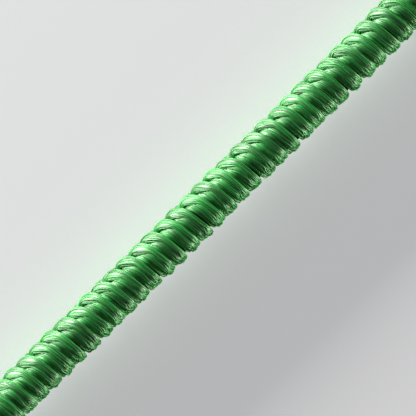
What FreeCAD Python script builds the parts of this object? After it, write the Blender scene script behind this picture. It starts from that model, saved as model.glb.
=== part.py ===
import FreeCAD, Part
import math
import os

# Short taut length of dynamic climbing rope with a sewn eye round a thimble at each end.
# Millimetres. The free stretch lies along X through the origin, Z is up, and the part stands on z = 0.
# End A is at -X with its tail on the -Y side. End B is end A turned half round about Z.

# Sheath of the free stretch
rib_crest_diameter = 10.0
rib_depth = 0.84
rib_pitch = 3.667
rib_count = 35
rib_flank = 0.7
rib_shoulder_depth = 0.25
free_sides = 16
end_collar_length = 10.0
end_collar_step = 0.5

# Sheath where the rope is bound and bent, a little thinner and nearly smooth
bound_diameter = 9.6
bound_sides = 12

# Bore of the whole sheath, eight-sided, measured across its flats
bore_width = 6.6
bore_sides = 8

# Core
strand_diameter = 1.56
strand_sides = 10
strand_gap = 0.05
inner_strand_count = 3
outer_strand_count = 9
outer_ring_diameter = 4.9
core_clearance = 0.05

# Sewn eye
leg_gap = 0.4
sleeve_length = 20.0
stitched_length = 26.0
throat_angle = 32.0
throat_bend_radius = 18.0

# Thimble
thimble_bore_diameter = 16.0
thimble_web = 2.0
thimble_seat_clearance = 0.15
thimble_lip_height = 0.6
groove_flank_angle = 45.0

# Shrink sleeve
sleeve_wall = 1.0
sleeve_clearance = 0.1

# Stitching
thread_diameter = 0.7
thread_gap = 0.05
stitch_count = 12
stitch_width = 10.4
stitch_lean = 0.62
stitch_end_margin = 2.0

# Fused tip of the tail
tip_thickness = 2.6
tip_bevel = 0.9
tail_beyond_sleeve = 2.0

# Sizes that follow
bound_radius = bound_diameter / 2
bore_corner = bore_width / 2 / math.cos(math.pi / bore_sides)
leg_pitch = bound_diameter + leg_gap
free_half = rib_count * rib_pitch / 2
rope_height = bound_radius + sleeve_clearance + sleeve_wall
groove_reach = bound_radius + thimble_seat_clearance
eye_radius = thimble_bore_diameter / 2 + thimble_web + groove_reach
throat_turn = math.radians(throat_angle)
throat_drop = (
    eye_radius * math.cos(throat_turn)
    - leg_pitch / 2
    - throat_bend_radius * (1 - math.cos(throat_turn))
)
throat_run = throat_drop / math.sin(throat_turn)
throat_length = (
    (eye_radius + throat_bend_radius) * math.sin(throat_turn) + throat_run * math.cos(throat_turn)
)
legs_end = free_half + sleeve_length + stitched_length
eye_x = legs_end + throat_length
tail_run = sleeve_length + stitched_length + tail_beyond_sleeve
tail_start = FreeCAD.Vector(tail_run - legs_end, -leg_pitch, rope_height)

up = FreeCAD.Vector(0, 0, 1)
along = FreeCAD.Vector(1, 0, 0)
origin = FreeCAD.Vector(0, 0, 0)


def save(name, shape):
    assert shape.isValid(), name
    shape.exportStep(os.path.join("parts", name + ".step"))


def end_b(shape):
    """The same piece at the other end of the rope."""
    turned = shape.copy()
    turned.rotate(origin, up, 180)
    return turned


def heading_vector(angle):
    return FreeCAD.Vector(math.cos(angle), math.sin(angle), 0)


def polygon(radius, sides, point, heading):
    """A regular polygon square to the heading, with flats facing sideways and up."""
    sideways = heading_vector(heading + math.pi / 2)
    corners = []
    for k in range(sides + 1):
        angle = 2 * math.pi * (k + 0.5) / sides
        corners.append(point + sideways * (radius * math.cos(angle)) + up * (radius * math.sin(angle)))
    return Part.makePolygon(corners)


def polygon_area(radius, sides):
    return sides / 2 * radius**2 * math.sin(2 * math.pi / sides)


# Route of end A from the tail's tip, as straight runs (length, 0) and tangent arcs (radius, turn)
route_a = [
    (tail_run, 0),
    (throat_bend_radius, throat_turn),
    (throat_run, 0),
    (eye_radius, -math.pi - 2 * throat_turn),
    (throat_run, 0),
    (throat_bend_radius, throat_turn),
    (sleeve_length + stitched_length - end_collar_length, 0),
]
route_a_length = sum(size * (abs(turn) if turn else 1) for size, turn in route_a)


def route_wire():
    """End A's route as one wire of lines and arcs."""
    point = tail_start
    heading = math.pi
    edges = []
    for size, turn in route_a:
        if turn:
            to_centre = heading + math.copysign(math.pi / 2, turn)
            centre = point + heading_vector(to_centre) * size
            middle = centre - heading_vector(to_centre + turn / 2) * size
            end = centre - heading_vector(to_centre + turn) * size
            edges.append(Part.Arc(point, middle, end).toShape())
            heading += turn
        else:
            end = point + heading_vector(heading) * size
            edges.append(Part.LineSegment(point, end).toShape())
        point = end
    return Part.Wire(edges)


def swept(radius, sides):
    """A bar of regular section carried along end A's route."""
    outline = polygon(radius, sides, tail_start, math.pi)
    return route_wire().makePipeShell([outline], True, False)


def sheath_round_eye():
    """The sheath of end A: tail, eye and the sewn part of the main leg."""
    tube = swept(bound_radius, bound_sides).cut(swept(bore_corner, bore_sides))
    area = polygon_area(bound_radius, bound_sides) - polygon_area(bore_corner, bore_sides)
    print("sheath of an eye: volume over section times length %.4f" % (tube.Volume / area / route_a_length))
    return tube


def core_eye():
    """The strands of the eye, pressed into one bundle by the bend and the stitching."""
    return swept(bore_corner - core_clearance, bore_sides)


def ribbed_sheath():
    """The sheath between the sleeves, with a smooth collar inside each sleeve."""
    crest = rib_crest_diameter / 2
    valley = crest - rib_depth
    shoulder = crest - rib_shoulder_depth
    collar_end = free_half + end_collar_length
    collar_start = free_half + end_collar_step
    rings = [(-collar_end, bound_radius), (-collar_start, bound_radius)]
    for k in range(rib_count):
        left = -free_half + k * rib_pitch
        rings += [
            (left, valley),
            (left + rib_flank, shoulder),
            (left + rib_pitch / 2, crest),
            (left + rib_pitch - rib_flank, shoulder),
        ]
    rings += [(free_half, valley), (collar_start, bound_radius), (collar_end, bound_radius)]
    outlines = [
        polygon(radius, free_sides, FreeCAD.Vector(x, 0, rope_height), 0) for x, radius in rings
    ]
    start = FreeCAD.Vector(-collar_end, 0, rope_height)
    bore = Part.Face(polygon(bore_corner, bore_sides, start, 0)).extrude(along * 2 * collar_end)
    return Part.makeLoft(outlines, True, True).cut(bore)


def mantle():
    """The whole sheath, one tube from tail tip to tail tip."""
    eye = sheath_round_eye()
    return ribbed_sheath().multiFuse([eye, end_b(eye)]).removeSplitter().Solids[0]


def core_strands():
    """Three strands in the middle and nine round them, as long as the free sheath."""
    length = 2 * (free_half + end_collar_length)
    inner_ring = (strand_diameter + strand_gap) / math.sqrt(3)
    places = [(inner_ring, k / inner_strand_count) for k in range(inner_strand_count)]
    places += [(outer_ring_diameter / 2, (k + 0.5) / outer_strand_count) for k in range(outer_strand_count)]
    strands = []
    for ring, share in places:
        angle = 2 * math.pi * share
        start = FreeCAD.Vector(
            -length / 2, ring * math.cos(angle), rope_height + ring * math.sin(angle)
        )
        outline = polygon(strand_diameter / 2, strand_sides, start, 0)
        strands.append(Part.Face(outline).extrude(along * length))
    return strands


def thimble():
    """A solid ring with an angular groove outside for the rope, turned about the eye's own axis."""
    bore = thimble_bore_diameter / 2
    shallow = groove_reach * math.tan(math.radians(groove_flank_angle / 2))
    half = groove_reach + thimble_lip_height
    outline = [
        (bore, -half),
        (bore, half),
        (eye_radius - shallow - thimble_lip_height, half),
        (eye_radius - shallow, groove_reach),
        (eye_radius - groove_reach, shallow),
        (eye_radius - groove_reach, -shallow),
        (eye_radius - shallow, -groove_reach),
        (eye_radius - shallow - thimble_lip_height, -half),
        (bore, -half),
    ]
    centre = FreeCAD.Vector(-eye_x, -leg_pitch / 2, rope_height)
    corners = [centre + along * radius + up * height for radius, height in outline]
    return Part.Face(Part.makePolygon(corners)).revolve(centre, up, 360)


def racetrack(radius, x):
    """The outline round both legs, square to X: half a leg's outline, a flat and the other half."""
    corner = radius / math.cos(math.pi / bound_sides)
    main = FreeCAD.Vector(x, 0, rope_height)
    corners = []
    for k in range(bound_sides):
        angle = 2 * math.pi * (k + 0.5) / bound_sides
        out = FreeCAD.Vector(0, corner * math.cos(angle), corner * math.sin(angle))
        tail = FreeCAD.Vector(0, -leg_pitch if math.cos(angle) < 0 else 0, 0)
        corners.append(main + tail + out)
    return Part.Face(Part.makePolygon(corners + corners[:1]))


def sleeve():
    """The shrink sleeve that holds the tail's end against the main leg."""
    inner = bound_radius + sleeve_clearance
    start = -free_half - sleeve_length
    outside = racetrack(inner + sleeve_wall, start).extrude(along * sleeve_length)
    inside = racetrack(inner, start).extrude(along * sleeve_length)
    return outside.cut(inside)


def stitch(start, end):
    """One thread from leg to leg, six-sided, lying on the rope."""
    ahead = end - start
    heading = math.atan2(ahead.y, ahead.x)
    return Part.Face(polygon(thread_diameter / 2, 6, start, heading)).extrude(ahead)


def stitching():
    """Zigzag bar tacks over both legs, on the upper and the lower side."""
    step = (stitched_length - 2 * stitch_end_margin) / stitch_count
    first = -free_half - sleeve_length - stitch_end_margin
    middle = -leg_pitch / 2
    lift = bound_radius + thread_gap + thread_diameter / 2
    threads = []
    for height in (rope_height + lift, rope_height - lift):
        for k in range(stitch_count):
            x = first - k * step
            side = stitch_width / 2 * (-1) ** k
            start = FreeCAD.Vector(x, middle + side, height)
            end = FreeCAD.Vector(x - stitch_lean * step, middle - side, height)
            threads.append(stitch(start, end))
    return Part.makeCompound(threads)


def fused_tip():
    """The tail's melted end, a low button with a bevelled rim."""
    rings = [
        (0, bound_radius),
        (tip_thickness - tip_bevel, bound_radius),
        (tip_thickness, bound_radius - tip_bevel),
    ]
    outlines = [polygon(radius, bound_sides, tail_start + along * x, 0) for x, radius in rings]
    return Part.makeLoft(outlines, True, True)


def main():
    os.makedirs("parts", exist_ok=True)
    for number, strand in enumerate(core_strands(), 1):
        save("core_strand_%02d" % number, strand)
    save("mantle", mantle())
    for name, shape in (
        ("core_eye", core_eye()),
        ("thimble", thimble()),
        ("shrink_sleeve", sleeve()),
        ("stitching", stitching()),
        ("fused_tip", fused_tip()),
    ):
        save(name + "_a", shape)
        save(name + "_b", end_b(shape))
    print("bend radii: eye %.2f, throat %.2f" % (eye_radius, throat_bend_radius))
    print("rope from tip to tip %.1f" % (2 * (route_a_length + free_half + end_collar_length)))
    print("eye centres %.1f apart along X" % (2 * eye_x))


main()
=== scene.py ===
import bpy
import math
import numpy as np
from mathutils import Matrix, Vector


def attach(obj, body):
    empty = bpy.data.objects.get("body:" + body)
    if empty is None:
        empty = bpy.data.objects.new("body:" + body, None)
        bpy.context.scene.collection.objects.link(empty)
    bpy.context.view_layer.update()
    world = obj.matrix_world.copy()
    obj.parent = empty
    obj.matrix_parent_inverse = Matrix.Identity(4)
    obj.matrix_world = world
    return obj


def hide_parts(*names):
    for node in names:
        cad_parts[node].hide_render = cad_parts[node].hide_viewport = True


# Short taut climbing rope with a sewn eye round a thimble at each end.
# Lengths are millimetres until a mesh is made, and metres in the scene.
# The rope lies along X, end A towards -X. End B is end A turned half round about Z.

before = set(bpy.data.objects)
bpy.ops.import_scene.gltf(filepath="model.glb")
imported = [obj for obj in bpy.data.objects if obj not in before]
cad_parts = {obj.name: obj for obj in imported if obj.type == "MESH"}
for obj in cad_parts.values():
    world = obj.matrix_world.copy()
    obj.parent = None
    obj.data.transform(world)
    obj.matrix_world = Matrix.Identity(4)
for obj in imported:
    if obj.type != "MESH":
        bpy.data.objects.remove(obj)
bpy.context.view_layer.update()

MM = 0.001
random = np.random.default_rng(8)

# Sizes repeated from the part's source
rope_height = 5.9
rib_pitch = 3.667
rib_count = 35
free_half = rib_count * rib_pitch / 2
leg_pitch = 10.0
eye_radius = 14.95
sleeve_length = 20.0
stitched_length = 26.0
eye_x = 135.5441
tail_x = -62.17

# Camera straight above, as the photograph has it. The frame is given in millimetres at the rope's height,
# the rope's middle in pixels, its slope in degrees, and the camera's distance in metres.
frame_width = 86.7
image_size = 416
rope_in_image = (205.72, 205.55)
rope_slope = 44.75
camera_distance = 1.5
sensor = 36.0

# Margin round each tube's cell in the map
map_margin = 0.03


# Meshes

def grid_faces(shape, wrap):
    """Four-sided faces of tubes given as rings of points, and each corner's place on its own tube."""
    tubes, rings, sides = shape
    ring = np.arange(rings if wrap else rings - 1)[:, None]
    side = np.arange(sides)[None, :]
    corners = []
    places = []
    for step_ring, step_side in ((0, 0), (1, 0), (1, 1), (0, 1)):
        on_ring = ring + step_ring
        on_side = side + step_side
        corners.append(((on_ring % rings) * sides + on_side % sides).ravel())
        u = (on_side / sides + 0 * on_ring).ravel()
        v = (on_ring / len(ring) + 0 * on_side).ravel()
        places.append(np.stack([u, v], -1))
    one = np.stack(corners, 1)
    first = np.arange(tubes)[:, None, None] * rings * sides
    return (one[None] + first).reshape(-1, 4), np.stack(places, 1)


def grid_map(places, tubes, columns, low, high):
    """The tubes' faces laid side by side in a band of the square map."""
    rows = math.ceil(tubes / columns)
    tube = np.arange(tubes)
    cell = np.stack([tube % columns, tube // columns], -1)[:, None, None, :]
    size = np.array([1 / columns, (high - low) / rows])
    inside = cell + map_margin + (1 - 2 * map_margin) * places[None]
    return (inside * size + (0, low)).reshape(-1, 2)


def grid_piece(name, groups, material, wrap=False):
    """A piece made of tubes. A group holds points in millimetres, strand places and its map's share."""
    points = np.concatenate([g["points"].reshape(-1, 3) for g in groups]) * MM
    faces = []
    maps = []
    first = 0
    low = 0.0
    for g in groups:
        shape = g["points"].shape[:3]
        made, places = grid_faces(shape, wrap)
        high = low + g.get("share", 1.0)
        maps.append(grid_map(places, shape[0], g.get("columns", 1), low, high))
        faces.append(made + first)
        first += shape[0] * shape[1] * shape[2]
        low = high
    faces = np.concatenate(faces)
    mesh = bpy.data.meshes.new(name)
    mesh.vertices.add(len(points))
    mesh.vertices.foreach_set("co", points.astype(np.float32).ravel())
    mesh.loops.add(faces.size)
    mesh.loops.foreach_set("vertex_index", faces.astype(np.int32).ravel())
    mesh.polygons.add(len(faces))
    mesh.polygons.foreach_set("loop_start", np.arange(0, faces.size, 4, dtype=np.int32))
    mesh.update(calc_edges=True)
    mesh.polygons.foreach_set("use_smooth", np.full(len(faces), True))
    layout = mesh.uv_layers.new(name="OFBake")
    layout.uv.foreach_set("vector", np.concatenate(maps).astype(np.float32).ravel())
    if "strand" in groups[0]:
        strand = np.concatenate([g["strand"].reshape(-1, 3) for g in groups])
        own = mesh.attributes.new("strand", "FLOAT_VECTOR", "POINT")
        own.data.foreach_set("vector", strand.astype(np.float32).ravel())
    mesh.materials.append(material)
    piece = bpy.data.objects.new(name, mesh)
    bpy.context.scene.collection.objects.link(piece)
    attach(piece, "root")
    return piece


def turned_end(points):
    """The same points at end B."""
    return points * (-1, -1, 1)


def end_pieces(name, points, material, columns=1, wrap=False):
    """The same piece at end A and, turned round, at end B, each with its end's letter."""
    for end, place in (("a", points), ("b", turned_end(points))):
        yield end, grid_piece(name + end, [{"points": place, "columns": columns}], material, wrap)


def angles(count):
    """Even steps round a circle."""
    return np.linspace(0, 2 * math.pi, count, endpoint=False)


def unit(vectors):
    return vectors / np.linalg.norm(vectors, axis=-1, keepdims=True)


def rings_round(line, across, outward, reach):
    """Rings of points round the places of lines. Reach is the radius at each place and side."""
    around = angles(reach.shape[-1])
    return (
        line[..., None, :]
        + across[..., None, :] * (reach * np.cos(around))[..., None]
        + outward[..., None, :] * (reach * np.sin(around))[..., None]
    )


def tube_along(path, sides, radius, up=(0, 0, 1)):
    """Rings of points round a path. Radius is a number, or one for each ring and side."""
    ahead = unit(np.gradient(path, axis=0))
    sideways = unit(np.cross(np.asarray(up, float), ahead))
    reach = np.broadcast_to(radius, (len(path), sides))
    return rings_round(path, sideways, np.cross(ahead, sideways), reach)


def smooth_values(stations, count):
    """Values at count even steps along given stations, on a smooth curve through them."""
    stations = np.asarray(stations, float)
    last = len(stations) - 1
    at = np.linspace(0, last, count)
    i = np.minimum(at.astype(int), last - 1)
    t = (at - i)[:, None]
    before = stations[np.maximum(i - 1, 0)]
    here = stations[i]
    there = stations[i + 1]
    after = stations[np.minimum(i + 2, last)]
    slope_here = (there - before) / 2
    slope_there = (after - here) / 2
    return (
        here * (2 * t**3 - 3 * t**2 + 1) + slope_here * (t**3 - 2 * t**2 + t)
        + there * (3 * t**2 - 2 * t**3) + slope_there * (t**3 - t**2)
    )


# Route of the rope, end A first

# Control points beside the throat and further along the legs, and those round the eye
throat_x = -115.33
leg_x = -95.3
eye_corner_count = 6
eye_turn = 244.0

# How far ahead and behind the rope's direction is read
heading_reach = 0.6


def eye_corners():
    """Corners round the thimble, so that the smooth line keeps the eye's radius."""
    step = math.radians(eye_turn / eye_corner_count)
    corner = eye_radius / math.cos(step / 2)
    first = math.radians(eye_turn / 2 - 180) - step / 2
    places = []
    for k in range(eye_corner_count):
        angle = first - k * step
        places.append((-eye_x + corner * math.cos(angle), -leg_pitch / 2 + corner * math.sin(angle)))
    return places


def route_points():
    """The rope's control points from tail tip to tail tip."""
    end_a = [(tail_x, -leg_pitch), (leg_x, -leg_pitch), (throat_x, -leg_pitch)]
    end_a += eye_corners()
    end_a += [(throat_x, 0), (leg_x, 0)]
    end_b = [(-x, -y) for x, y in reversed(end_a)]
    return [(x, y, rope_height) for x, y in end_a + end_b]


def route_curve(name):
    """The rope's line as a smooth curve without a bevel."""
    places = route_points()
    curve = bpy.data.curves.new(name, "CURVE")
    curve.dimensions = "3D"
    spline = curve.splines.new("NURBS")
    spline.points.add(len(places) - 1)
    for point, place in zip(spline.points, places):
        point.co = (place[0] * MM, place[1] * MM, place[2] * MM, 1)
    spline.order_u = 3
    spline.use_endpoint_u = True
    spline.resolution_u = 24
    return curve


def read_route():
    """The points of the smooth line, in millimetres, and how far along it each lies."""
    bare = bpy.data.objects.new("rope_line", route_curve("rope_line"))
    mesh = bpy.data.meshes.new_from_object(bare)
    line = np.array([v.co for v in mesh.vertices], float) / MM
    bpy.data.meshes.remove(mesh)
    bpy.data.curves.remove(bare.data)
    along = np.concatenate([[0], np.cumsum(np.linalg.norm(np.diff(line, axis=0), axis=1))])
    return line, along


route_line, route_along = read_route()
rope_length = route_along[-1]


def on_route(along, sideways, height):
    """Points beside the line: along it, sideways to its left, and up, in millimetres."""
    along = np.clip(along, 0, rope_length)
    centre = [np.interp(along, route_along, route_line[:, k]) for k in range(2)]
    ahead = [np.interp(along + heading_reach, route_along, route_line[:, k]) for k in range(2)]
    behind = [np.interp(along - heading_reach, route_along, route_line[:, k]) for k in range(2)]
    tangent_x = ahead[0] - behind[0]
    tangent_y = ahead[1] - behind[1]
    size = np.hypot(tangent_x, tangent_y)
    x = centre[0] - tangent_y / size * sideways
    y = centre[1] + tangent_x / size * sideways
    return np.stack([x, y, rope_height + height], -1)


# Sheath yarns
# Stations of one bundle: along the rope from its rib's start, degrees from the top towards the far edge,
# centre radius, width and thickness

loop_yarn = [
    (-1.00, 44, 3.00, 0.90, 0.70),
    (-0.45, 51, 3.35, 1.30, 0.85),
    (0.05, 55, 3.80, 1.80, 0.95),
    (0.60, 56, 4.20, 2.25, 1.05),
    (1.30, 55, 4.42, 2.60, 1.10),
    (2.00, 50, 4.46, 2.75, 1.12),
    (2.72, 41, 4.46, 2.55, 1.12),
    (3.38, 31, 4.46, 2.20, 1.12),
    (3.80, 23, 4.45, 1.85, 1.15),
    (4.02, 14, 4.45, 1.70, 1.12),
    (4.16, 3, 4.45, 1.64, 1.10),
    (4.26, -9, 4.45, 1.60, 1.10),
    (4.34, -22, 4.45, 1.56, 1.10),
    (4.42, -33, 4.45, 1.55, 1.10),
    (4.48, -44, 4.46, 1.54, 1.08),
    (4.51, -55, 4.46, 1.52, 1.05),
    (4.51, -66, 4.43, 1.48, 1.02),
    (4.49, -79, 4.35, 1.40, 1.00),
    (4.46, -92, 4.20, 1.24, 0.90),
    (4.48, -107, 3.84, 1.20, 0.75),
    (4.50, -122, 3.62, 1.20, 0.70),
    (4.50, -138, 3.30, 1.00, 0.60),
]
middle_yarn = [
    (0.10, 57, 3.40, 0.85, 0.70),
    (0.50, 47, 3.55, 0.95, 0.75),
    (0.95, 43, 3.88, 1.25, 0.90),
    (1.45, 38, 4.15, 1.50, 1.00),
    (2.05, 30, 4.28, 1.62, 1.10),
    (2.50, 21, 4.34, 1.62, 1.12),
    (2.80, 12, 4.37, 1.60, 1.12),
    (2.99, 3, 4.38, 1.55, 1.10),
    (3.12, -9, 4.37, 1.50, 1.10),
    (3.22, -21, 4.34, 1.50, 1.10),
    (3.27, -32, 4.32, 1.55, 1.10),
    (3.32, -43, 4.36, 1.58, 1.08),
    (3.38, -54, 4.42, 1.62, 1.05),
    (3.45, -66, 4.45, 1.62, 1.02),
    (3.50, -79, 4.46, 1.56, 1.00),
    (3.54, -92, 4.36, 1.40, 0.90),
    (3.55, -107, 3.88, 1.28, 0.75),
    (3.56, -122, 3.64, 1.20, 0.70),
    (3.56, -138, 3.30, 1.00, 0.60),
]
left_yarn = [
    (-0.15, 58, 3.10, 0.85, 0.70),
    (0.20, 47, 3.10, 0.90, 0.70),
    (0.52, 44, 3.50, 1.10, 0.90),
    (0.86, 39, 3.85, 1.25, 1.00),
    (1.20, 32, 4.08, 1.32, 1.05),
    (1.48, 23, 4.18, 1.32, 1.05),
    (1.68, 14, 4.20, 1.28, 1.05),
    (1.85, 4, 4.10, 1.22, 1.05),
    (2.00, -9, 3.90, 1.16, 1.05),
    (2.10, -21, 3.70, 1.14, 1.05),
    (2.16, -33, 3.56, 1.15, 1.05),
    (2.23, -44, 3.56, 1.18, 1.02),
    (2.30, -55, 3.72, 1.22, 1.00),
    (2.40, -67, 4.00, 1.26, 0.98),
    (2.50, -80, 4.22, 1.26, 0.95),
    (2.56, -93, 4.22, 1.22, 0.88),
    (2.58, -107, 3.88, 1.20, 0.75),
    (2.60, -122, 3.62, 1.20, 0.70),
    (2.60, -138, 3.30, 1.00, 0.60),
]

# Each kind of bundle, and how flat the rope's section is for it on the side toward the loops
rib_yarns = ((left_yarn, 1.5), (middle_yarn, 1.5), (loop_yarn, 1.8))

# Where the ribs lie about the rope's middle, in ribs
rib_phase = -0.1

# The lower face is the upper one turned over, its loops along the other edge
lower_turn = -190.0
lower_stretch = 0.78
lower_shift = 2.2
lower_inset = 0.4
lower_rise = 0.65
loop_centre = 57.0

# Section of the rope, flatter on its faces than a circle: powers of its outline and its height to width
face_flatness = 2.5
rib_end_flatness = 2.9
face_height = 0.95
widest = 0.9999

# Degrees at which a bundle begins to turn over the rope's edge, and then in under it, and how many each takes
edge_start = -30
edge_span = 25
under_start = -90
under_span = 32

# How much the bundles differ from each other, and how much each wavers along itself
place_spread = (0.06, 0.06)
angle_spread = (1.2, 1.2)
radius_spread = (0.04, 0.03)
width_spread = (0.05, 0.04)
thick_waver = 0.04
rib_end_spread = 0.09

# How much whole ribs differ in place and angle
rib_drift = (0.08, 2.0)

# The longest wave of any wavering, in lengths of the bundle
longest_wave = 1.6

# Section of a bundle, a flattened round
bundle_side_power = 0.85
bundle_crown_power = 0.8

# The bundle's inside: its size, its tone, dark as painted shade between the fibres, and the size of its
# closed ends
skin_size = 0.86
skin_painted_shade = 0.1
skin_end_size = 0.02

# Fibres: degrees round the bundle that they cover, and how they leave their lanes
fibre_lanes = (-14, 194)
lane_spread = 5
lane_waver = 9
fibre_sizes = (0.7, 1.35)
fibre_waver = 0.03
fibre_sink = 0.6
fibre_inset = 0.4
fibre_end_radius = 0.005
loop_fibre_share = 1.35

# Curls of the fibres at the rope's edge, and how much of them is left elsewhere
curl_lengths = (2.0, 4.2)
curl_elsewhere = 0.06
curl_turn = 24
curl_lift = 0.06
curl_tone = 0.22

# Tones of the fibres, from dark at 0 to bright at 1, and a painted highlight: how much brighter they are at
# the rope's edge, where light falls, on the raised yarns, and less on the one between the ribs, which lies in
# shade
middle_tone = 0.5
band_tone = 0.15
band_waves = (1.5, 3.5)
band_starts = (0, 6)
tone_spread = 0.36
painted_highlight_outer = 0.34
painted_highlight_inner = 0.18
pattern_size = 50

# Loose fibres, where a bundle turns in: shares of its rings between which they lie, and how they vary
stray_rings = (0.73, 0.88)
stray_radius = 0.12
stray_taper = 0.9
stray_sides = 4
stray_points = 6
stray_lengths = (0.8, 1.8)
stray_turn = 35
stray_bend = 1.2
stray_side = 0.85
stray_crown_power = 0.4
stray_lifts = (0.04, 0.12)
stray_tones = (0.6, 1.0)

# Detail where the photograph shows the rope, and round the eyes. The radius is that of a fibre.
close_detail = {
    "rings": 36,
    "skin_sides": 12,
    "fibres": 13,
    "fibre_sides": 5,
    "radius": 0.12,
    "strays": 9,
}
plain_detail = {
    "rings": 26,
    "skin_sides": 10,
    "fibres": 7,
    "fibre_sides": 4,
    "radius": 0.192,
    "strays": 4,
}

# Size of the bound and bent rope against the free one
bound_scale = 0.96

# How many pieces the free stretch has, how far they run on inside each sleeve, and how far the first and
# the last rib's start stay from the tail tips
free_lengths = 4
close_collar = 4.0
first_rib = 1.0
last_rib = 5.0


def wander(rows, rings, waves, size):
    """Smooth random wavering along each bundle, one row for each."""
    at = np.linspace(0, 1, rings)[None, :]
    total = np.zeros((rows, rings))
    for wave in range(1, waves + 1):
        phase = random.uniform(0, 2 * math.pi, (rows, 1))
        swing = np.sin(2 * math.pi * wave * at / longest_wave + phase)
        total += random.normal(0, 1 / wave, (rows, 1)) * swing
    return total * size


def section(turn, radius, loop_side_flatness):
    """Sideways and up of a place on the rope's section, and the way out of it."""
    sideways = np.sin(turn)
    height = np.cos(turn)
    size = np.abs(sideways) ** face_flatness + np.abs(height / face_height) ** face_flatness
    loop_side = sideways * height > 0
    sideways = sideways * size ** (-1 / face_flatness)
    power = np.where(loop_side, loop_side_flatness, rib_end_flatness)
    rise = (1 - np.minimum(np.abs(sideways), widest) ** power) ** (1 / power)
    out_sideways = np.sign(sideways) * np.abs(sideways) ** (power - 1)
    out_height = np.sign(height) * rise ** (power - 1) / face_height
    return radius * sideways, radius * np.sign(height) * face_height * rise, out_sideways, out_height


def uneven(bands, rings, spread, waves):
    """How much each bundle differs from the others, and wavers along itself."""
    return random.normal(0, spread[0], (bands, 1)) + wander(bands, rings, waves, spread[1])


def bundle_lines(starts, stations, flatness, rings, scale, lower, drift):
    """Middle lines of one kind of bundle at every rib start, each a little different."""
    bands = len(starts)
    values = smooth_values(stations, rings)
    dx, angle, radius, width, thick = (values[:, k][None, :] * np.ones((bands, 1)) for k in range(5))
    edge = np.clip((edge_start - angle) / edge_span, 0, 1)
    turned_under = np.clip((under_start - angle) / under_span, 0, 1)
    if lower:
        angle = loop_centre + lower_turn + (angle - loop_centre) * lower_stretch
        dx = dx + lower_shift
        radius = radius - lower_inset * edge + lower_rise * turned_under
    dx = dx + drift[:, :1] + uneven(bands, rings, place_spread, waves=2)
    angle = angle + drift[:, 1:] + uneven(bands, rings, angle_spread, waves=2)
    radius = radius * scale + uneven(bands, rings, radius_spread, waves=2)
    radius = radius + random.normal(0, rib_end_spread, (bands, 1)) * edge * (1 - turned_under)
    width = width * (1 + uneven(bands, rings, width_spread, waves=3))
    thick = thick * (1 + wander(bands, rings, waves=2, size=thick_waver))
    sideways, height, out_sideways, out_height = section(np.radians(angle), radius, flatness)
    centre = np.stack([dx, sideways, height], -1)
    ahead = unit(np.gradient(centre, axis=1))
    outward = np.stack([0 * dx, out_sideways, out_height], -1)
    outward = unit(outward - (outward * ahead).sum(-1, keepdims=True) * ahead)
    run = np.cumsum(np.linalg.norm(np.diff(centre, axis=1, prepend=centre[:, :1]), axis=-1), axis=1)
    return {
        "starts": np.asarray(starts),
        "centre": centre,
        "across": np.cross(ahead, outward),
        "outward": outward,
        "width": width,
        "thick": thick,
        "run": run,
        "edge": edge,
    }


def placed(b, points):
    """Points given from their ribs' starts, laid on the rope."""
    along = b["starts"].reshape(-1, *[1] * (points.ndim - 2)) + points[..., 0]
    return on_route(along, points[..., 1], points[..., 2])


def strand_places(points, across, along, tone):
    """Each point's place in the colour's pattern: across the strand, along it, and its tone."""
    nothing = 0 * points[..., 0]
    return np.stack([nothing + across, nothing + along, nothing + tone], -1)


def bundle_section(turn):
    """Across and out of a place on a bundle's section."""
    flat = np.sign(np.cos(turn)) * np.abs(np.cos(turn)) ** bundle_side_power
    crown = np.sign(np.sin(turn)) * np.abs(np.sin(turn)) ** bundle_crown_power
    return flat, crown


def bundle_skins(b, sides):
    """The bundles' insides, seen between the fibres, painted dark as the shade there."""
    rings = b["width"].shape[1]
    flat, crown = bundle_section(angles(sides)[None, None, :])
    size = np.full((1, rings, 1), skin_size)
    size[:, (0, -1)] = skin_end_size
    points = (
        b["centre"][:, :, None, :]
        + b["across"][:, :, None, :] * (b["width"][:, :, None] / 2 * flat * size)[..., None]
        + b["outward"][:, :, None, :] * (b["thick"][:, :, None] / 2 * crown * size)[..., None]
    )
    # dark tone: painted shade between the fibres
    return placed(b, points), strand_places(points, flat, b["run"][:, :, None], skin_painted_shade)


def fibre_tubes(b, line, beside, outward, thin, sides, own, run, tone):
    """Tubes round the fibres' lines, laid on the rope, with their places in the colour's pattern."""
    bands, count, rings = line.shape[:3]
    points = rings_round(line, beside, outward, thin[..., None] * np.ones(sides))
    strand = strand_places(points, own[..., None], (run + own)[..., None], tone[..., None])
    shape = (bands * count, rings, sides, 3)
    return placed(b, points).reshape(shape), strand.reshape(shape)


def curls(b, count, size):
    """Quick waves where the fibres turn in at the rope's edge."""
    bands = len(b["width"])
    phase = random.uniform(0, 2 * math.pi, (bands, count, 1))
    wave = random.uniform(*curl_lengths, (bands, count, 1))
    share = curl_elsewhere + (1 - curl_elsewhere) * b["edge"][:, None, :]
    return share * size * np.sin(2 * math.pi * b["run"][:, None, :] / wave + phase)


def fibre_tones(b, count, lane, painted_edge_light):
    """Bright and dark bands round the bundles, fibres that differ in them, and a painted highlight at the
    rope's edge.
    """
    bands = len(b["width"])
    wave = random.uniform(*band_waves, (bands, 1, 1)) * np.radians(lane)
    wave = wave + random.uniform(*band_starts, (bands, 1, 1))
    tone = middle_tone + band_tone * np.sin(wave) + random.normal(0, tone_spread, (bands, count, 1))
    # painted highlight: fibres brighter where the bundle turns over the rope's edge
    tone = tone + curls(b, count, curl_tone) + painted_edge_light * b["edge"][:, None, :]
    return np.clip(tone, 0, 1)


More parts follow.
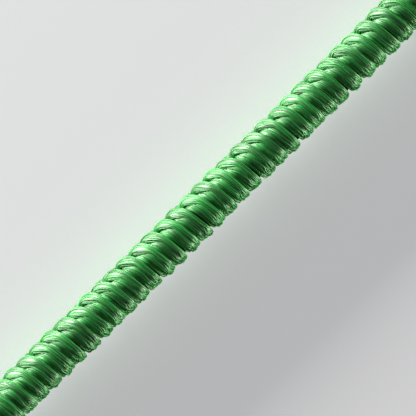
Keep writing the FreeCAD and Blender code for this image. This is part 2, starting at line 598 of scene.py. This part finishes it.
def bundle_fibres(b, count, sides, radius, painted_edge_light):
    """The fibres on the bundles. They stray a little from their lanes, some are brighter, and a painted
    highlight lies on those at the rope's edge.
    """
    bands, rings = b["width"].shape
    shape = (bands, count, rings)
    lane = np.linspace(*fibre_lanes, count)[None, :, None]
    turn = lane + random.normal(0, lane_spread, (bands, count, 1))
    turn = turn + wander(bands * count, rings, waves=5, size=lane_waver).reshape(shape)
    flat, crown = bundle_section(np.radians(turn + curls(b, count, curl_turn)))
    thin = radius * random.uniform(*fibre_sizes, (bands, count, 1)) * np.ones(shape)
    lift = wander(bands * count, rings, waves=3, size=fibre_waver).reshape(shape) - fibre_sink * thin
    lift += curls(b, count, curl_lift)
    across = b["across"][:, None]
    outward = b["outward"][:, None]
    line = (
        b["centre"][:, None]
        + across * ((b["width"][:, None, :] / 2 - fibre_inset * thin) * flat)[..., None]
        + outward * (b["thick"][:, None, :] / 2 * crown + lift)[..., None]
    )
    thin[:, :, (0, -1)] = fibre_end_radius
    tone = fibre_tones(b, count, lane, painted_edge_light)
    own = random.uniform(0, pattern_size, (bands, count, 1))
    return fibre_tubes(b, line, across, outward, thin, sides, own, b["run"][:, None, :], tone)


def at_ring(values, place):
    """Values of each bundle between its rings. Place is one row of ring numbers for each bundle."""
    first = np.clip(place.astype(int), 0, values.shape[1] - 2)
    share = place - first
    row = np.arange(len(values)).reshape(-1, *[1] * (place.ndim - 1))
    if values.ndim == 3:
        share = share[..., None]
    return values[row, first] * (1 - share) + values[row, first + 1] * share


def stray_fibres(b, count):
    """Short loose fibres that lie over the bundles where they turn in at the rope's edge."""
    bands, rings = b["width"].shape
    each = (bands, count, 1)
    step = np.linspace(-0.5, 0.5, stray_points)[None, None, :]
    size = random.uniform(*stray_lengths, each)
    turn = np.radians(random.normal(0, stray_turn, each)) + stray_bend * step * random.normal(0, 1, each)
    spacing = b["run"][:, -1][:, None, None] / (rings - 1)
    place = random.uniform(*stray_rings, each) * (rings - 1) + step * size * np.cos(turn) / spacing
    width = at_ring(b["width"], place)
    side = random.uniform(-stray_side, stray_side, each)
    flat = np.clip(side + step * size * np.sin(turn) / (width / 2), -1, 1)
    crown = (1 - flat**2) ** stray_crown_power
    lift = random.uniform(*stray_lifts, each) * (1 - (2 * step) ** 2)
    across = at_ring(b["across"], place)
    outward = at_ring(b["outward"], place)
    line = at_ring(b["centre"], place) + across * (width / 2 * flat)[..., None]
    line += outward * (at_ring(b["thick"], place) / 2 * crown + lift)[..., None]
    ahead = np.cross(outward, across)
    beside = ahead * np.sin(turn)[..., None] - across * np.cos(turn)[..., None]
    thin = stray_radius * (1 - stray_taper * (2 * step) ** 2)
    own = random.uniform(0, pattern_size, each)
    tone = random.uniform(*stray_tones, each)
    return fibre_tubes(b, line, beside, outward, thin, stray_sides, own, step, tone)


def yarn_group(made, columns, share):
    """Tubes on all kinds of bundle as one group of a piece, with its part of the map."""
    points = np.concatenate([x[0] for x in made])
    strand = np.concatenate([x[1] for x in made])
    return {"points": points, "strand": strand, "columns": columns, "share": share}


def yarn_piece(name, starts, detail, scale, lower, material):
    """All the bundles of one face of the rope between two places, as one piece."""
    skins = []
    fibres = []
    strays = []
    drift = random.normal(0, rib_drift, (len(starts), 2))
    for stations, flatness in rib_yarns:
        b = bundle_lines(starts, stations, flatness, detail["rings"], scale, lower, drift)
        count = round(detail["fibres"] * (loop_fibre_share if stations is loop_yarn else 1))
        skins.append(bundle_skins(b, detail["skin_sides"]))
        inner = stations is left_yarn
        # the yarn between the ribs gets less of the painted highlight, a painted shade there
        painted_edge_light = painted_highlight_inner if inner else painted_highlight_outer
        fibres.append(bundle_fibres(b, count, detail["fibre_sides"], detail["radius"], painted_edge_light))
        if not inner:
            strays.append(stray_fibres(b, detail["strays"]))
    groups = [
        yarn_group(skins, columns=10, share=0.2),
        yarn_group(fibres, columns=60, share=0.7),
        yarn_group(strays, columns=20, share=0.1),
    ]
    return grid_piece(name, groups, material)


def rib_starts(low, high):
    """How far along the rope the ribs between two places begin."""
    middle = rope_length / 2
    first = math.ceil((low - middle) / rib_pitch - rib_phase)
    last = math.ceil((high - middle) / rib_pitch - rib_phase)
    return [middle + (k + rib_phase) * rib_pitch for k in range(first, last)]


def sheath_yarns(material):
    """The sheath's two faces, each along the free stretch in four lengths and round each eye in two."""
    middle = rope_length / 2
    collar = free_half + close_collar
    near_end = (middle - collar) / 2
    names = ["end_a_1", "end_a_2"] + [str(k + 1) for k in range(free_lengths)] + ["end_b_2", "end_b_1"]
    edges = [first_rib, near_end, *np.linspace(middle - collar, middle + collar, free_lengths + 1)]
    edges += [rope_length - near_end, rope_length - last_rib]
    made = []
    for face, lower in (("upper", False), ("lower", True)):
        for name, low, high in zip(names, edges, edges[1:]):
            bound = name.startswith("end")
            detail = plain_detail if bound else close_detail
            scale = bound_scale if bound else 1.0
            title = "sheath_%s_%s" % (face, name)
            made.append(yarn_piece(title, rib_starts(low, high), detail, scale, lower, material))
    return made


# Inside of the sheath, under its yarns, painted dark as the shade between them

underlayer_radius = 3.75
underlayer_sides = 24
underlayer_step = 0.8


def rope_underlayer(material):
    """The inside of the sheath, painted dark as the shade seen between the yarns, and the rope's path through
    it in metres.
    """
    along = np.append(np.arange(0, rope_length, underlayer_step), rope_length)
    path = on_route(along, 0 * along, 0 * along)
    points = tube_along(path, underlayer_sides, underlayer_radius)
    piece = grid_piece("rope_underlayer", [{"points": points[None]}], material)
    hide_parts("mantle")
    return piece, path * MM


# Core

# How far the straight core runs on inside each sleeve
core_collar = 10.0
core_half = free_half + core_collar

# Rings of strands: radius, how many strands, and how far they are turned, in strands
strand_rings = ((0.93, 3, 0), (2.45, 9, 0.5))

# One strand of three plies: mean radius, depth of the plies, and length of a whole twist
strand_plies = 3
strand_radius = 0.66
strand_relief = 0.11
strand_twist = 9.0
strand_points = 130
strand_sides = 12

# The strands of an eye, pressed into one bundle, and how far it stays from the tip and the straight core
pressed_strands = 9
pressed_radius = 3.0
pressed_relief = 0.22
pressed_twist = 60.0
pressed_points = 200
pressed_sides = 36
tip_gap = 0.5
core_gap = 0.3


def ply_waves(plies, sides, turn):
    """Waves round each ring of a twisted cord. Turn is how far each ring is turned."""
    return np.cos(plies * (angles(sides)[None, :] - turn[:, None]))


def core_strands(material):
    """Twelve twisted strands, three in the middle and nine round them."""
    places = [(ring, (k + shift) / count) for ring, count, shift in strand_rings for k in range(count)]
    x = np.linspace(-core_half, core_half, strand_points)
    for number, (ring, share) in enumerate(places, 1):
        angle = 2 * math.pi * share
        y = 0 * x + ring * math.cos(angle)
        z = 0 * x + rope_height + ring * math.sin(angle)
        turn = 2 * math.pi * x / strand_twist + number
        radius = strand_radius + strand_relief * ply_waves(strand_plies, strand_sides, turn)
        points = tube_along(np.stack([x, y, z], -1), strand_sides, radius)
        name = "core_strand_%02d" % number
        piece = grid_piece("twisted_" + name, [{"points": points[None]}], material)
        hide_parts(name)


def core_eyes(material):
    """The core of each eye, its strands laid together round the bend."""
    last = rope_length / 2 - core_half
    along = np.linspace(tip_gap, last - core_gap, pressed_points)
    waves = ply_waves(pressed_strands / 2, pressed_sides, 2 * math.pi * along / pressed_twist)
    radius = pressed_radius + pressed_relief * np.abs(waves)
    points = tube_along(on_route(along, 0 * along, 0 * along), pressed_sides, radius)[None]
    for end, piece in end_pieces("core_bundle_", points, material):
        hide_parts("core_eye_" + end)


# Thimbles: radii and heights from the ring's middle

thimble_bore = 8.0
thimble_half = 5.55
thimble_sides = 120
bore_flat = 2.0
bore_rounding = 0.7
face_radius = 10.3
lip_radius = 12.55
lip_rounding = 0.45
groove_radius = 4.97

# Arcs of the outline: first and last degrees, and how many points
bore_arc = (180, 90, 7)
lip_arc = (90, -10, 8)
groove_arc = (118, 180, 14)


def arc(centre, radius, first, last, count):
    """Points of an arc from one angle to another, in degrees."""
    angle = np.radians(np.linspace(first, last, count))
    return [(centre[0] + radius * math.cos(a), centre[1] + radius * math.sin(a)) for a in angle]


def thimble_outline():
    """Half the ring's section from the bore's middle to the groove's middle, as radius and height."""
    bore_centre = (thimble_bore + bore_rounding, thimble_half - bore_rounding)
    lip_centre = (lip_radius - lip_rounding, thimble_half - lip_rounding)
    return [
        (thimble_bore, 0.0),
        (thimble_bore, bore_flat),
        *arc(bore_centre, bore_rounding, *bore_arc),
        (face_radius, thimble_half),
        *arc(lip_centre, lip_rounding, *lip_arc),
        *arc((eye_radius, 0), groove_radius, *groove_arc),
    ]


def thimbles(material):
    """A turned ring with a rounded groove for the rope."""
    half = thimble_outline()
    whole = np.array(half + [(r, -h) for r, h in reversed(half[1:-1])])
    turn = angles(thimble_sides)[:, None]
    x = -eye_x + whole[None, :, 0] * np.cos(turn)
    y = -leg_pitch / 2 + whole[None, :, 0] * np.sin(turn)
    points = np.stack([x, y, rope_height + whole[None, :, 1] + 0 * turn], -1)[None]
    for end, piece in end_pieces("turned_thimble_", points, material, wrap=True):
        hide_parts("thimble_" + end)


# Shrink sleeves

# Reach of the inside from a leg's middle
sleeve_inside = 4.78

# The rounded rim: distance from the sleeve's end, and reach beyond the inside
sleeve_rim = ((0.35, 0.0), (0.05, 0.35), (0.05, 0.75), (0.5, 1.08))

# The outside's reach beyond the inside, how far from each end it begins, and how many rings it has
sleeve_wall = 1.12
outside_start = 1.2
outside_rings = 60

# The inside is tightest from this far within each end
seat_start = 4.0
seat_reach = -0.25

# Where the wall reaches further than this beyond the inside, it sinks a little between the ribs
ribbed_reach = 1.0
rib_sink = 0.05

# How much all of it sinks between the legs
waist_sink = 0.55

# Points of the outline round a leg, and of its flat between them
bend_points = 37
flat_points = 13


def racetrack(reach):
    """The outline round both legs, square to X, drawn in a little between them."""
    bend = np.radians(np.linspace(-90, 90, bend_points))
    flat = np.linspace(0, 1, flat_points)[1:-1]
    dip = waist_sink * np.sin(math.pi * flat) ** 2
    side = reach * np.cos(bend)
    y = [side, -leg_pitch * flat, -leg_pitch - side, -leg_pitch * (1 - flat)]
    z = [reach * np.sin(bend), reach - dip, -reach * np.sin(bend), dip - reach]
    return np.concatenate(y), rope_height + np.concatenate(z)


def sleeve_stations():
    """The sleeve's wall as distance along the sleeve and reach beyond its inside."""
    outside = np.linspace(outside_start, sleeve_length - outside_start, outside_rings)
    return [
        *sleeve_rim,
        *[(x, sleeve_wall) for x in outside],
        *[(sleeve_length - x, reach) for x, reach in reversed(sleeve_rim)],
        (sleeve_length - seat_start, seat_reach),
        (seat_start, seat_reach),
    ]


def sleeves(material):
    """Shrunk tube round both legs, which shows the ribs beneath it faintly."""
    start = -free_half - sleeve_length
    rings = []
    for x, reach in sleeve_stations():
        sink = 0
        if reach > ribbed_reach:
            sink = rib_sink * (1 - math.cos(2 * math.pi * (start + x) / rib_pitch))
        y, z = racetrack(sleeve_inside + reach - sink)
        rings.append(np.stack([0 * y + start + x, y, z], -1))
    points = np.array(rings)[None, :, ::-1]
    for end, piece in end_pieces("shrunk_sleeve_", points, material, wrap=True):
        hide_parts("shrink_sleeve_" + end)


# Stitching

stitch_count = 12
stitch_margin = 2.0
stitch_step = (stitched_length - 2 * stitch_margin) / stitch_count
stitch_half = 5.2
stitch_height = 5.2

# One stitch: back along X in steps, across as a share of its half, and depth below its height
stitch_stations = [
    (-0.05 / stitch_step, 1.20, 1.90),
    (0.00, 1.13, 0.75),
    (0.02, 0.98, 0.02),
    (0.20, 0.50, 0.02),
    (0.31, 0.00, 0.18),
    (0.42, -0.50, 0.02),
    (0.60, -0.98, 0.02),
    (0.62, -1.13, 0.75),
    (0.60, -1.20, 1.90),
]

# Thread of two plies: mean radius, depth of the plies, length of a whole twist, and how much it wavers
thread_plies = 2
thread_radius = 0.29
thread_relief = 0.055
thread_twist = 3.2
thread_waver = 0.03
thread_points = 44
thread_sides = 10


def stitch(x, side, face):
    """One twisted thread from leg to leg, with its ends drawn into the rope."""
    middle = -leg_pitch / 2
    stations = [
        (x - back * stitch_step, middle + side * share, stitch_height - depth)
        for back, share, depth in stitch_stations
    ]
    path = smooth_values(stations, thread_points) + wander(3, thread_points, waves=2, size=thread_waver).T
    path[:, 2] = rope_height + face * path[:, 2]
    run = np.cumsum(np.linalg.norm(np.diff(path, axis=0, prepend=path[:1]), axis=-1))
    waves = ply_waves(thread_plies, thread_sides, 2 * math.pi * run / thread_twist)
    return tube_along(path, thread_sides, thread_radius + thread_relief * waves, up=(1, 0, 0))


def stitches(material):
    """Zigzag bar tacks over both legs, above and below."""
    first = -free_half - sleeve_length - stitch_margin
    made = []
    for face in (1, -1):
        for k in range(stitch_count):
            made.append(stitch(first - k * stitch_step, stitch_half * (-1) ** k, face))
    for end, piece in end_pieces("thread_", np.array(made), material, columns=8):
        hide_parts("stitching_" + end)


# Fused tips

# Distance past the tail's end, and radius
tip_outline = [
    (-0.35, 4.30), (0.00, 4.62), (0.50, 4.74), (1.20, 4.72), (1.70, 4.60), (2.10, 4.30),
    (2.40, 3.80), (2.52, 3.10), (2.50, 2.30), (2.42, 1.50), (2.38, 0.80), (2.36, 0.10),
]
tip_rings = 34
tip_sides = 48

# Waves of the melt round the tip: size, how many, and where they begin. The rim's are shares of the radius.
rim_waves = ((0.014, 3, 1.0), (0.01, 7, 0.0))
dent_wave = (0.10, 2, 0.6)
lump_size = 0.05
lump_count = 5

# How fast the lumps turn towards the middle, and how far out the dents are deepest
lump_turn = 2.2
dent_reach = 2.4


def melt_wave(turn, size, count, start):
    return size * np.sin(count * turn + start)


def fused_tips(material):
    """The tail's melted end, a lumpy button."""
    outline = smooth_values(tip_outline, tip_rings)
    past = outline[:, :1]
    radius = outline[:, 1:]
    turn = angles(tip_sides)[None, :]
    reach = radius * (1 + sum(melt_wave(turn, *w) for w in rim_waves))
    dent = melt_wave(turn, *dent_wave) * np.clip(past / dent_reach, 0, 1)
    lump = melt_wave(turn, lump_size, lump_count, lump_turn * radius)
    x = tail_x + past - np.abs(dent) - np.abs(lump) * np.clip(past, 0, 1)
    y = -leg_pitch + reach * np.cos(turn)
    z = rope_height + reach * np.sin(turn)
    points = np.stack([x, y, z], -1)[None]
    for end, piece in end_pieces("melted_tip_", points, material):
        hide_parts("fused_tip_" + end)


# Materials: a scale is how many grains there are to a metre along X, Y and Z, and on the sheath's yarns to a
# millimetre across the strand and along it. A relief is the bump's height in metres and its strength.

yarn_patch_scale = (1.0, 0.45, 0.0)
yarn_fine_scale = (14.0, 0.9, 0.0)
yarn_patch_share = 0.4
# The darkest stop gives the bundles' insides their painted shade.
yarn_colours = [
    (0.12, (0.0005, 0.03, 0.004)),
    (0.30, (0.002, 0.20, 0.025)),
    (0.55, (0.005, 0.39, 0.048)),
    (0.85, (0.020, 0.62, 0.090)),
]
yarn_roughness = [(0.3, (0.48, 0.48, 0.48)), (0.7, (0.62, 0.62, 0.62))]
yarn_gloss = {
    "Specular IOR Level": 1.0,
    "IOR": 1.8,
    "Specular Tint": (0.08, 1.0, 0.06, 1),
    "Coat Weight": 1.0,
    "Coat IOR": 2.3,
    "Coat Roughness": 0.45,
}

metal_film_scale = (180, 180, 180)
metal_scratch_scale = (1500, 260, 900)
metal_ring_scale = (30, 30, 5200)
metal_scratch_share = 0.5
metal_relief = (0.00003, 0.25)
metal_colours = [(0.3, (0.55, 0.56, 0.58)), (0.65, (0.66, 0.67, 0.69))]
metal_roughness = [(0.35, (0.40, 0.40, 0.40)), (0.7, (0.52, 0.52, 0.52))]

sleeve_grain_scale = (900, 900, 900)
sleeve_scuff_scale = (90, 260, 200)
sleeve_relief = (0.00004, 0.35)
sleeve_colours = [(0.35, (0.016, 0.016, 0.017)), (0.75, (0.045, 0.045, 0.047))]
sleeve_roughness = [(0.35, (0.42, 0.42, 0.42)), (0.7, (0.62, 0.62, 0.62))]

# Painted shade: the sheath's inside, far darker than its yarns
painted_shade_inside_look = {
    "scale": (1500, 1500, 1500),
    "detail": 2.0,
    "colours": [(0.3, (0.002, 0.03, 0.006)), (0.7, (0.005, 0.07, 0.014))],
    "roughness": 0.9,
}
core_look = {
    "scale": (300, 2600, 2600),
    "detail": 2.0,
    "colours": [(0.3, (0.62, 0.61, 0.55)), (0.7, (0.86, 0.85, 0.80))],
    "roughness": 0.6,
    "relief": (0.00008, 0.6),
}
thread_look = {
    "scale": (4200, 900, 4200),
    "detail": 2.0,
    "colours": [(0.3, (0.50, 0.49, 0.42)), (0.7, (0.78, 0.77, 0.69))],
    "roughness": 0.5,
    "relief": (0.00005, 0.5),
}
melt_look = {
    "scale": (420, 420, 420),
    "detail": 4.0,
    "colours": [(0.35, (0.006, 0.05, 0.012)), (0.7, (0.02, 0.14, 0.035))],
    "roughness": 0.22,
    "relief": (0.0002, 0.5),
}


def new_material(name):
    """A material, its node tree and its shader."""
    material = bpy.data.materials.new(name)
    material.use_nodes = True
    tree = material.node_tree
    return material, tree, tree.nodes["Principled BSDF"]


def add_node(tree, kind, **values):
    """A node with values for its inputs or settings."""
    node = tree.nodes.new(kind)
    for key, value in values.items():
        if key in node.inputs:
            node.inputs[key].default_value = value
        else:
            setattr(node, key, value)
    return node


def ramp(tree, source, stops):
    """A colour ramp from a list of place and colour."""
    node = tree.nodes.new("ShaderNodeValToRGB")
    tree.links.new(source, node.inputs["Fac"])
    elements = node.color_ramp.elements
    while len(elements) < len(stops):
        elements.new(0.5)
    for element, (place, colour) in zip(elements, stops):
        element.position = place
        element.color = (*colour, 1)
    return node.outputs["Color"]


def noise(tree, source, scale, detail=2.0):
    """A noise on places stretched by three scales."""
    stretch = add_node(tree, "ShaderNodeVectorMath", operation="MULTIPLY")
    tree.links.new(source, stretch.inputs[0])
    stretch.inputs[1].default_value = scale
    node = add_node(tree, "ShaderNodeTexNoise", Scale=1.0, Detail=detail)
    tree.links.new(stretch.outputs[0], node.inputs["Vector"])
    return node.outputs["Fac"]


def mix(tree, first, second, share):
    """Two values mixed, with a share of the second."""
    node = add_node(tree, "ShaderNodeMix", Factor=share)
    tree.links.new(first, node.inputs[2])
    tree.links.new(second, node.inputs[3])
    return node.outputs[0]


def bump(tree, shader, height, distance, strength):
    node = add_node(tree, "ShaderNodeBump", Distance=distance, Strength=strength)
    tree.links.new(height, node.inputs["Height"])
    tree.links.new(node.outputs["Normal"], shader.inputs["Normal"])


def own_places(tree):
    """Places in the object's own coordinates."""
    return add_node(tree, "ShaderNodeTexCoord").outputs["Object"]


def yarn_material():
    """Silky green fibres, some dark and some bright, with a painted highlight at the rope's edge and painted
    shade on the bundles' insides.
    """
    material, tree, shader = new_material("sheath_green")
    strand = add_node(tree, "ShaderNodeAttribute", attribute_name="strand").outputs["Vector"]
    split = tree.nodes.new("ShaderNodeSeparateXYZ")
    tree.links.new(strand, split.inputs[0])
    patches = noise(tree, strand, yarn_patch_scale)
    fine = noise(tree, strand, yarn_fine_scale)
    tone = mix(tree, split.outputs[2], patches, yarn_patch_share)
    tree.links.new(ramp(tree, tone, yarn_colours), shader.inputs["Base Color"])
    tree.links.new(ramp(tree, fine, yarn_roughness), shader.inputs["Roughness"])
    for key, value in yarn_gloss.items():
        shader.inputs[key].default_value = value
    return material


def grained_material(name, look):
    """A material with one grain in its colour and its height."""
    material, tree, shader = new_material(name)
    grain = noise(tree, own_places(tree), look["scale"], look["detail"])
    tree.links.new(ramp(tree, grain, look["colours"]), shader.inputs["Base Color"])
    shader.inputs["Roughness"].default_value = look["roughness"]
    if "relief" in look:
        bump(tree, shader, grain, *look["relief"])
    return material


def thimble_material():
    """Turned aluminium with fine rings, small scratches and a duller film."""
    material, tree, shader = new_material("thimble_metal")
    where = own_places(tree)
    film = noise(tree, where, metal_film_scale, 4.0)
    scratches = noise(tree, where, metal_scratch_scale, 3.0)
    rings = noise(tree, where, metal_ring_scale)
    tree.links.new(ramp(tree, film, metal_colours), shader.inputs["Base Color"])
    tree.links.new(ramp(tree, scratches, metal_roughness), shader.inputs["Roughness"])
    shader.inputs["Metallic"].default_value = 1.0
    bump(tree, shader, mix(tree, rings, scratches, metal_scratch_share), *metal_relief)
    return material


def sleeve_material():
    """Black shrunk plastic, scuffed and finely grained."""
    material, tree, shader = new_material("sleeve_black")
    where = own_places(tree)
    grain = noise(tree, where, sleeve_grain_scale, 4.0)
    scuff = noise(tree, where, sleeve_scuff_scale, 4.0)
    tree.links.new(ramp(tree, scuff, sleeve_colours), shader.inputs["Base Color"])
    tree.links.new(ramp(tree, scuff, sleeve_roughness), shader.inputs["Roughness"])
    bump(tree, shader, grain, *sleeve_relief)
    return material


# Stage, lights and camera. Lengths of lamps and floor are metres.

world_light = (0.9, 0.93, 0.95, 1)
world_strength = 0.06
background = (0.9, 0.91, 0.92, 1)
background_strength = 0.9
floor_half = 3.0
floor_seen = (0.78, 0.78, 0.79, 1)
floor_glow = (0.40, 0.40, 0.41, 1)
floor_lit = (0.35, 0.35, 0.35, 1)


def in_world(right, up_in_image, height):
    """A place given by the image's right and up, in millimetres, as a place in the scene."""
    turn = math.radians(rope_slope)
    x = right * math.cos(turn) + up_in_image * math.sin(turn)
    y = -right * math.sin(turn) + up_in_image * math.cos(turn)
    return Vector((x * MM, y * MM, height * MM))


def make_camera():
    data = bpy.data.cameras.new("camera")
    camera = bpy.data.objects.new("camera", data)
    bpy.context.scene.collection.objects.link(camera)
    data.sensor_width = sensor
    data.lens = sensor * camera_distance / (frame_width * MM)
    data.clip_end = 20
    pixel = frame_width / image_size
    right = (image_size / 2 - rope_in_image[0]) * pixel
    down = (image_size / 2 - rope_in_image[1]) * pixel
    camera.location = in_world(right, -down, rope_height + camera_distance / MM)
    camera.rotation_euler = (0, 0, math.radians(-rope_slope))
    bpy.context.scene.camera = camera


def area_light(name, azimuth, elevation, distance, size, power, colour):
    """A soft lamp turned to the rope's middle. Azimuth is in degrees from +X towards +Y."""
    data = bpy.data.lights.new(name, "AREA")
    data.shape = "RECTANGLE"
    data.size = size[0]
    data.size_y = size[1]
    data.energy = power
    data.color = colour
    lamp = bpy.data.objects.new(name, data)
    bpy.context.scene.collection.objects.link(lamp)
    a = math.radians(azimuth)
    e = math.radians(elevation)
    place = Vector((math.cos(a) * math.cos(e), math.sin(a) * math.cos(e), math.sin(e))) * distance
    lamp.location = place
    lamp.rotation_mode = "QUATERNION"
    lamp.rotation_quaternion = place.to_track_quat("Z", "Y")


def make_lights():
    area_light("key", azimuth=92, elevation=11, distance=1.1, size=(1.0, 0.25), power=24,
               colour=(1.0, 1.0, 0.97))
    area_light("fill", azimuth=-52, elevation=2, distance=1.1, size=(0.5, 0.10), power=10,
               colour=(1.0, 0.98, 0.92))


def make_world():
    """Faint light from all sides, and a pale background that only the camera sees."""
    world = bpy.data.worlds.new("studio")
    bpy.context.scene.world = world
    world.use_nodes = True
    tree = world.node_tree
    light = tree.nodes["Background"]
    light.inputs["Color"].default_value = world_light
    light.inputs["Strength"].default_value = world_strength
    seen = add_node(tree, "ShaderNodeBackground", Color=background, Strength=background_strength)
    path = tree.nodes.new("ShaderNodeLightPath")
    either = tree.nodes.new("ShaderNodeMixShader")
    tree.links.new(path.outputs["Is Camera Ray"], either.inputs[0])
    tree.links.new(light.outputs[0], either.inputs[1])
    tree.links.new(seen.outputs[0], either.inputs[2])
    tree.links.new(either.outputs[0], tree.nodes["World Output"].inputs["Surface"])


def make_floor():
    """A pale floor. It lights the rope less than it would if it were as pale as the camera sees it."""
    corners = [(x * floor_half, y * floor_half, 0) for x, y in ((-1, -1), (1, -1), (1, 1), (-1, 1))]
    mesh = bpy.data.meshes.new("floor")
    mesh.from_pydata(corners, [], [(0, 1, 2, 3)])
    floor = bpy.data.objects.new("floor", mesh)
    bpy.context.scene.collection.objects.link(floor)
    material, tree, shader = new_material("floor_pale")
    path = tree.nodes.new("ShaderNodeLightPath")
    either = add_node(tree, "ShaderNodeMix", data_type="RGBA")
    tree.links.new(path.outputs["Is Camera Ray"], either.inputs[0])
    either.inputs[6].default_value = floor_lit
    either.inputs[7].default_value = floor_seen
    tree.links.new(either.outputs[2], shader.inputs["Base Color"])
    tree.links.new(path.outputs["Is Camera Ray"], shader.inputs["Emission Strength"])
    shader.inputs["Emission Color"].default_value = floor_glow
    shader.inputs["Roughness"].default_value = 0.9
    mesh.materials.append(material)


def main():
    bpy.context.scene.view_settings.view_transform = "Standard"
    make_camera()
    make_lights()
    make_world()
    make_floor()
    inside, path = rope_underlayer(grained_material("sheath_inside_painted_shade", painted_shade_inside_look))
    yarns = sheath_yarns(yarn_material())
    white = grained_material("core_white", core_look)
    core_strands(white)
    core_eyes(white)
    thimbles(thimble_material())
    sleeves(sleeve_material())
    stitches(grained_material("thread_offwhite", thread_look))
    fused_tips(grained_material("melted_green", melt_look))


main()
